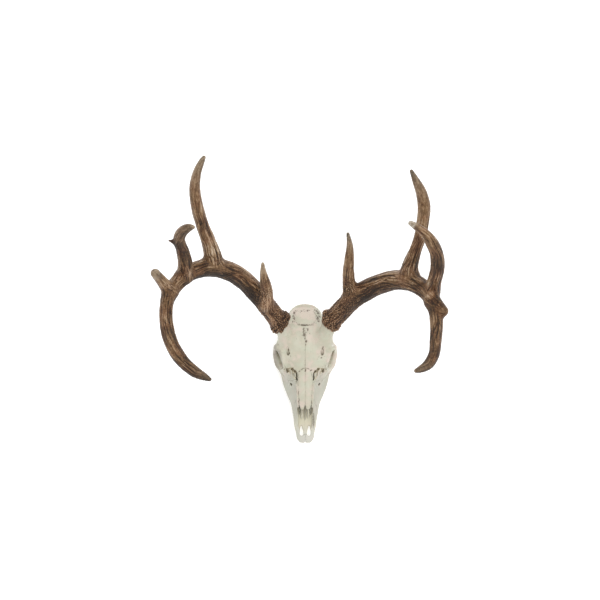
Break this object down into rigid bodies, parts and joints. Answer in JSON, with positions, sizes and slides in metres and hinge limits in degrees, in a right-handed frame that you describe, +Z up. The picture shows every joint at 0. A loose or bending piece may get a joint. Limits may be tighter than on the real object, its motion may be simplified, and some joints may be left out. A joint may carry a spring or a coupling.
{
  "type": "deer skull with antlers",
  "caption": "Life-size deer skull without its lower jaw, with both branched antlers, lying on its upper cheek teeth.",
  "frame": {"origin": "under the middle of the whole skull with its antlers, on the surface that it lies on", "axes": "+X towards the deer's left, +Y towards the back of the head with the nose at -Y, +Z up from the chewing faces of the upper cheek teeth"},
  "size_m": [0.5423, 0.4486, 0.4564],
  "materials": {
    "bone": "aged cream bone with a soft sheen, brown in its sutures, pores and hollows",
    "antler": "brown antler with paler ridges, dark grooves and pearling, smoother greyish tips"
  },
  "bodies": {
    "root": {"braincase": "bone", "frontal_left": "bone", "frontal_right": "bone", "nasal_left": "bone", "nasal_right": "bone", "premaxilla_left": "bone", "premaxilla_right": "bone", "maxilla_left": "bone", "maxilla_right": "bone", "zygomatic_left": "bone", "zygomatic_right": "bone", "antler_left_beam_foot": "antler", "antler_left_beam_low": "antler", "antler_left_beam_middle": "antler", "antler_left_beam_tip": "antler", "antler_left_brow_tine": "antler", "antler_left_second_tine": "antler", "antler_left_third_tine": "antler", "antler_left_fourth_tine": "antler", "antler_right_beam_foot": "antler", "antler_right_beam_low": "antler", "antler_right_beam_middle": "antler", "antler_right_beam_tip": "antler", "antler_right_brow_tine": "antler", "antler_right_second_tine": "antler", "antler_right_third_tine": "antler", "antler_right_small_point": "antler", "antler_right_fourth_tine": "antler"}
  },
  "joints": []
}
